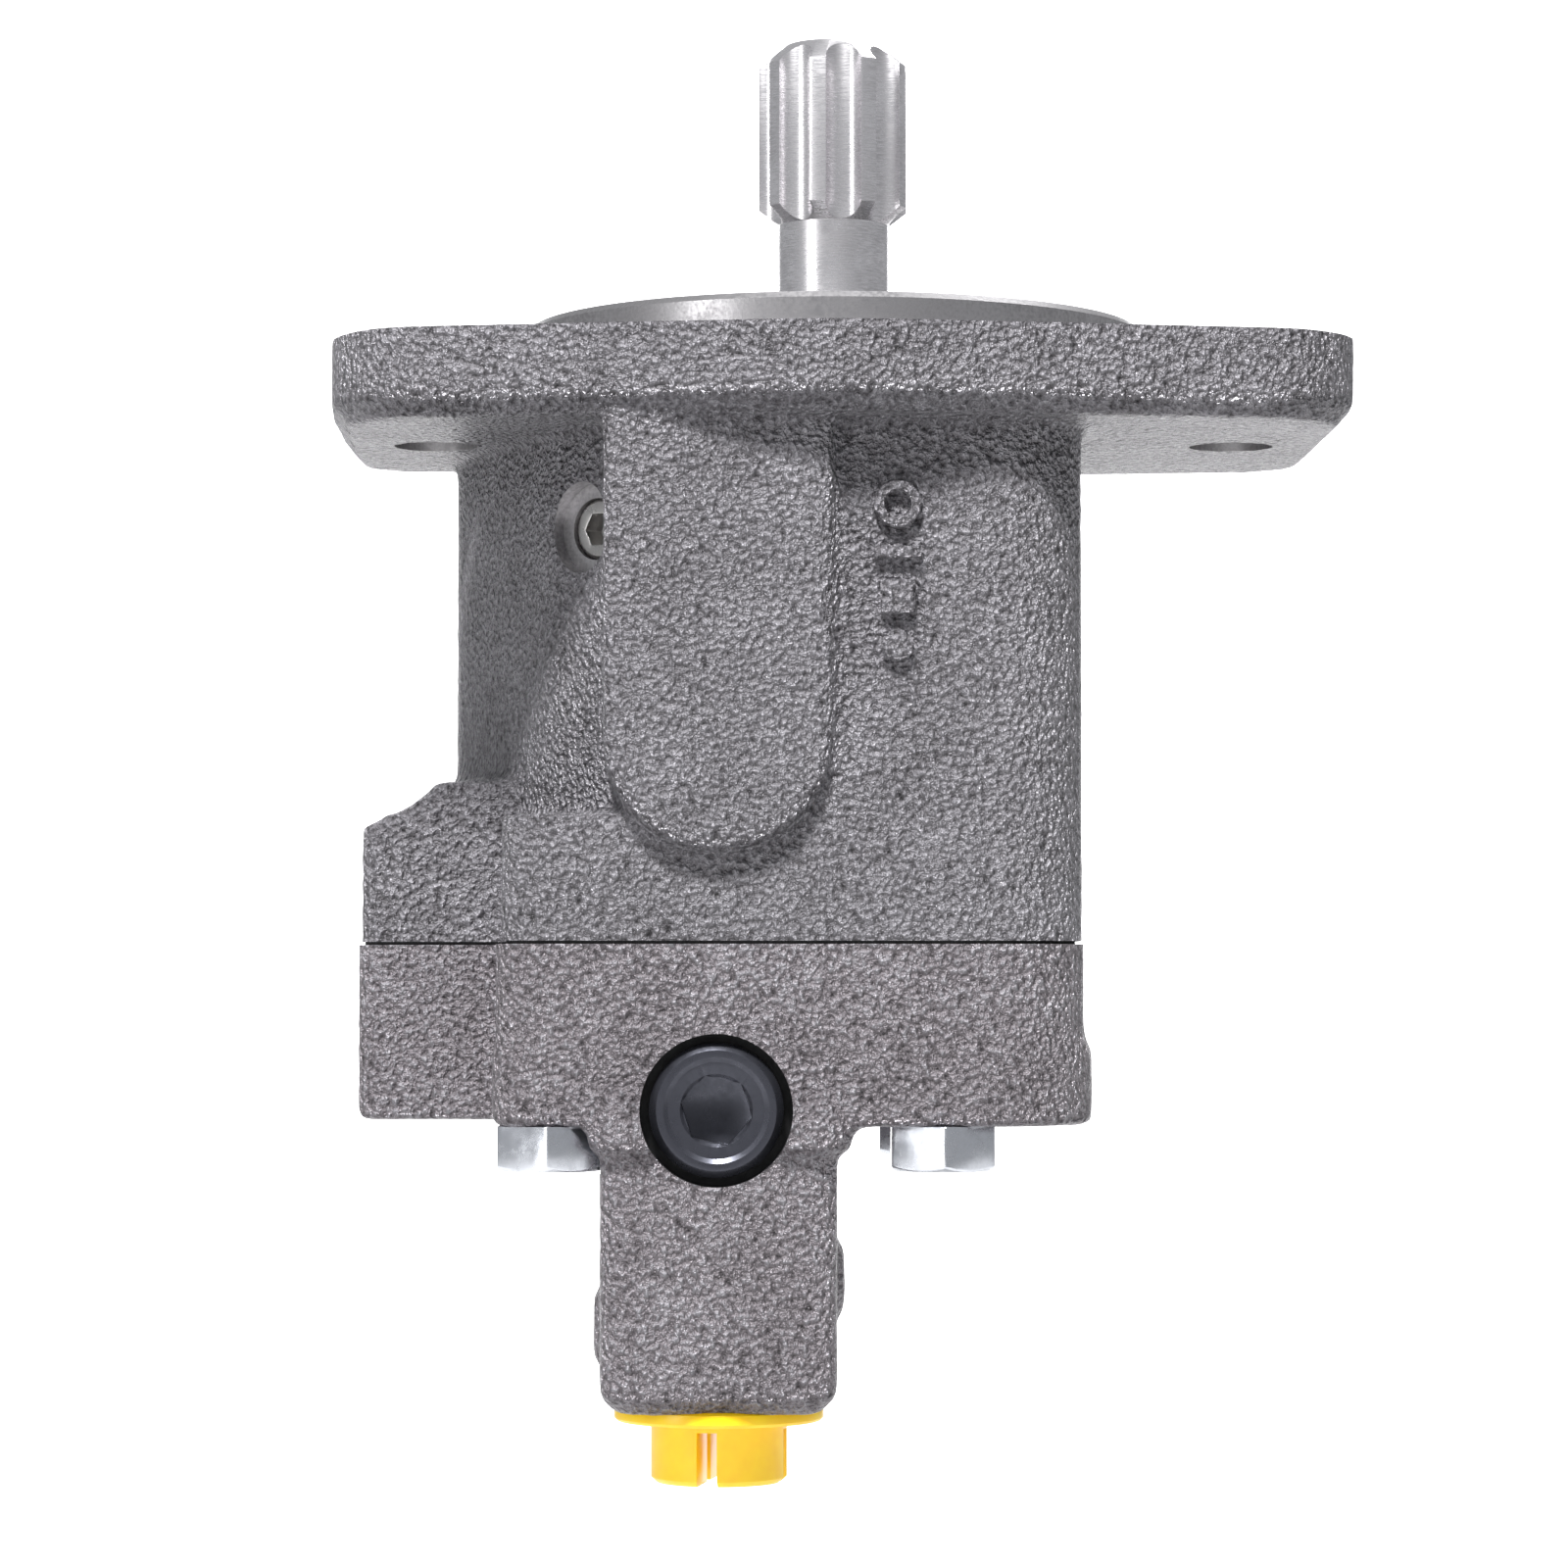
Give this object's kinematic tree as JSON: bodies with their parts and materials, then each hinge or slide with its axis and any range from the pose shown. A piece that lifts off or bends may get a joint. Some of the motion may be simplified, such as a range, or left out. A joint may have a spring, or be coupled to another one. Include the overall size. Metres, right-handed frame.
{
  "type": "axial piston pump",
  "caption": "Variable axial piston pump: cast body, two-bolt pilot flange, splined shaft, swash plate, pistons in a barrel, pressure compensator and plugged ports.",
  "frame": {"origin": "on the shaft axis at the flange's mounting face, in the pilot", "axes": "+Z along the shaft towards the spline, -Y out of the face with the socket plug, +X towards the inlet port"},
  "size_m": [0.133, 0.099, 0.1892],
  "materials": {
    "cast_housing": "as-cast grey iron, oiled, with machined faces",
    "cast_cover": "as-cast grey iron, oiled, with machined faces",
    "gasket": "thin pressed gasket",
    "zinc_steel": "bright zinc plate",
    "black_steel": "black oxide",
    "plain_steel": "plain turned steel",
    "seal_rubber": "moulded nitrile",
    "spring_steel": "oil-tempered wire",
    "bearing_steel": "ground and polished",
    "cage_brass": "pressed brass",
    "cage_steel": "pressed steel",
    "turned_steel": "turned, hardened steel",
    "barrel_steel": "lapped, nitrided steel",
    "ground_steel": "ground steel",
    "bronze": "machined bronze",
    "yellow_plastic": "glossy moulded plastic"
  },
  "bodies": {
    "casing": {"housing": "cast_housing", "end_cover": "cast_cover", "cover_gasket": "gasket", "cover_bolts": "zinc_steel", "lug_screw": "black_steel", "dowel_pins": "plain_steel", "shaft_seal": "seal_rubber", "seal_snap_ring": "spring_steel", "front_bearing_outer_ring": "bearing_steel", "rear_bearing_cup": "bearing_steel", "cradle_bearing_left": "bronze", "cradle_bearing_right": "bronze", "valve_plate": "bronze", "valve_plate_pin": "plain_steel", "bias_spring": "spring_steel", "bias_spring_seat": "ground_steel", "compensator_plug": "black_steel", "compensator_plug_oring": "seal_rubber", "compensator_spring": "spring_steel", "compensator_sleeve": "zinc_steel", "compensator_sleeve_oring": "seal_rubber", "adjuster_locknut": "zinc_steel", "bleed_screw": "plain_steel", "case_drain_plug": "plain_steel", "case_drain_plug_oring": "seal_rubber", "inlet_plug": "black_steel", "inlet_plug_oring": "seal_rubber"},
    "rotating_group": {"drive_shaft": "turned_steel", "cylinder_barrel": "barrel_steel", "ball_guide": "ground_steel", "push_pins": "ground_steel", "barrel_spring": "spring_steel", "barrel_spring_washers": "ground_steel", "barrel_snap_ring": "spring_steel", "front_bearing_inner_ring": "bearing_steel"},
    "front_cage": {"front_bearing_balls": "bearing_steel", "front_bearing_cage": "cage_brass"},
    "rear_cage": {"rear_needle_rollers": "bearing_steel", "rear_roller_cage": "cage_steel"},
    "piston_set": {"piston_set_pistons": "ground_steel", "piston_slippers": "bronze", "slipper_retainer": "ground_steel"},
    "swash": {"swash_plate": "ground_steel"},
    "control_piston": {"control_piston": "ground_steel", "control_piston_ring": "seal_rubber"},
    "bias_cap": {"bias_spring_cap": "ground_steel"},
    "spool": {"compensator_spool": "ground_steel", "compensator_spring_guide": "ground_steel"},
    "adjuster": {"adjuster_screw": "plain_steel"},
    "outlet_plug": {"outlet_shipping_plug": "yellow_plastic"}
  },
  "joints": [
    {"name": "shaft_spin", "type": "hinge", "parent": "casing", "child": "rotating_group", "pos_m": [0, 0, 0], "axis": [0, 0, 1], "continuous": true},
    {"name": "front_cage_spin", "type": "hinge", "parent": "casing", "child": "front_cage", "pos_m": [0, 0, 0], "axis": [0, 0, 1], "continuous": true},
    {"name": "rear_cage_spin", "type": "hinge", "parent": "casing", "child": "rear_cage", "pos_m": [0, 0, 0], "axis": [0, 0, 1], "continuous": true},
    {"name": "swash_tilt", "type": "hinge", "parent": "casing", "child": "swash", "pos_m": [0, 0, -0.041], "axis": [1, 0, 0], "range_deg": [0, 12]},
    {"name": "piston_stroke", "type": "slide", "parent": "rotating_group", "child": "piston_set", "axis": [0, 0, -1], "range_m": [0, 0.0052]},
    {"name": "control_piston_slide", "type": "slide", "parent": "casing", "child": "control_piston", "axis": [0, 0, -1], "range_m": [0, 0.0066]},
    {"name": "bias_cap_slide", "type": "slide", "parent": "casing", "child": "bias_cap", "axis": [0, 0, 1], "range_m": [0, 0.0062], "deforming": ["bias_spring"]},
    {"name": "spool_slide", "type": "slide", "parent": "casing", "child": "spool", "axis": [0, 1, 0], "range_m": [0, 0.0025], "stiffness_N_per_m": 3000, "springref_m": -0.003, "deforming": ["compensator_spring"]},
    {"name": "adjuster_turn", "type": "hinge", "parent": "casing", "child": "adjuster", "pos_m": [-0.0154, 0.04, -0.099], "axis": [0, 1, 0], "range_deg": [-180, 180]},
    {"name": "outlet_plug_pull", "type": "slide", "parent": "casing", "child": "outlet_plug", "axis": [0, 0, -1], "range_m": [0, 0.016]}
  ],
  "couplings": [
    {"joint": "front_cage_spin", "follows": "shaft_spin", "ratio": 0.3984},
    {"joint": "rear_cage_spin", "follows": "shaft_spin", "ratio": 0.4414},
    {"joint": "piston_stroke", "follows": "swash_tilt", "m_per_rad": 0.0242},
    {"joint": "control_piston_slide", "follows": "swash_tilt", "m_per_rad": 0.0305},
    {"joint": "bias_cap_slide", "follows": "swash_tilt", "m_per_rad": 0.02875}
  ]
}
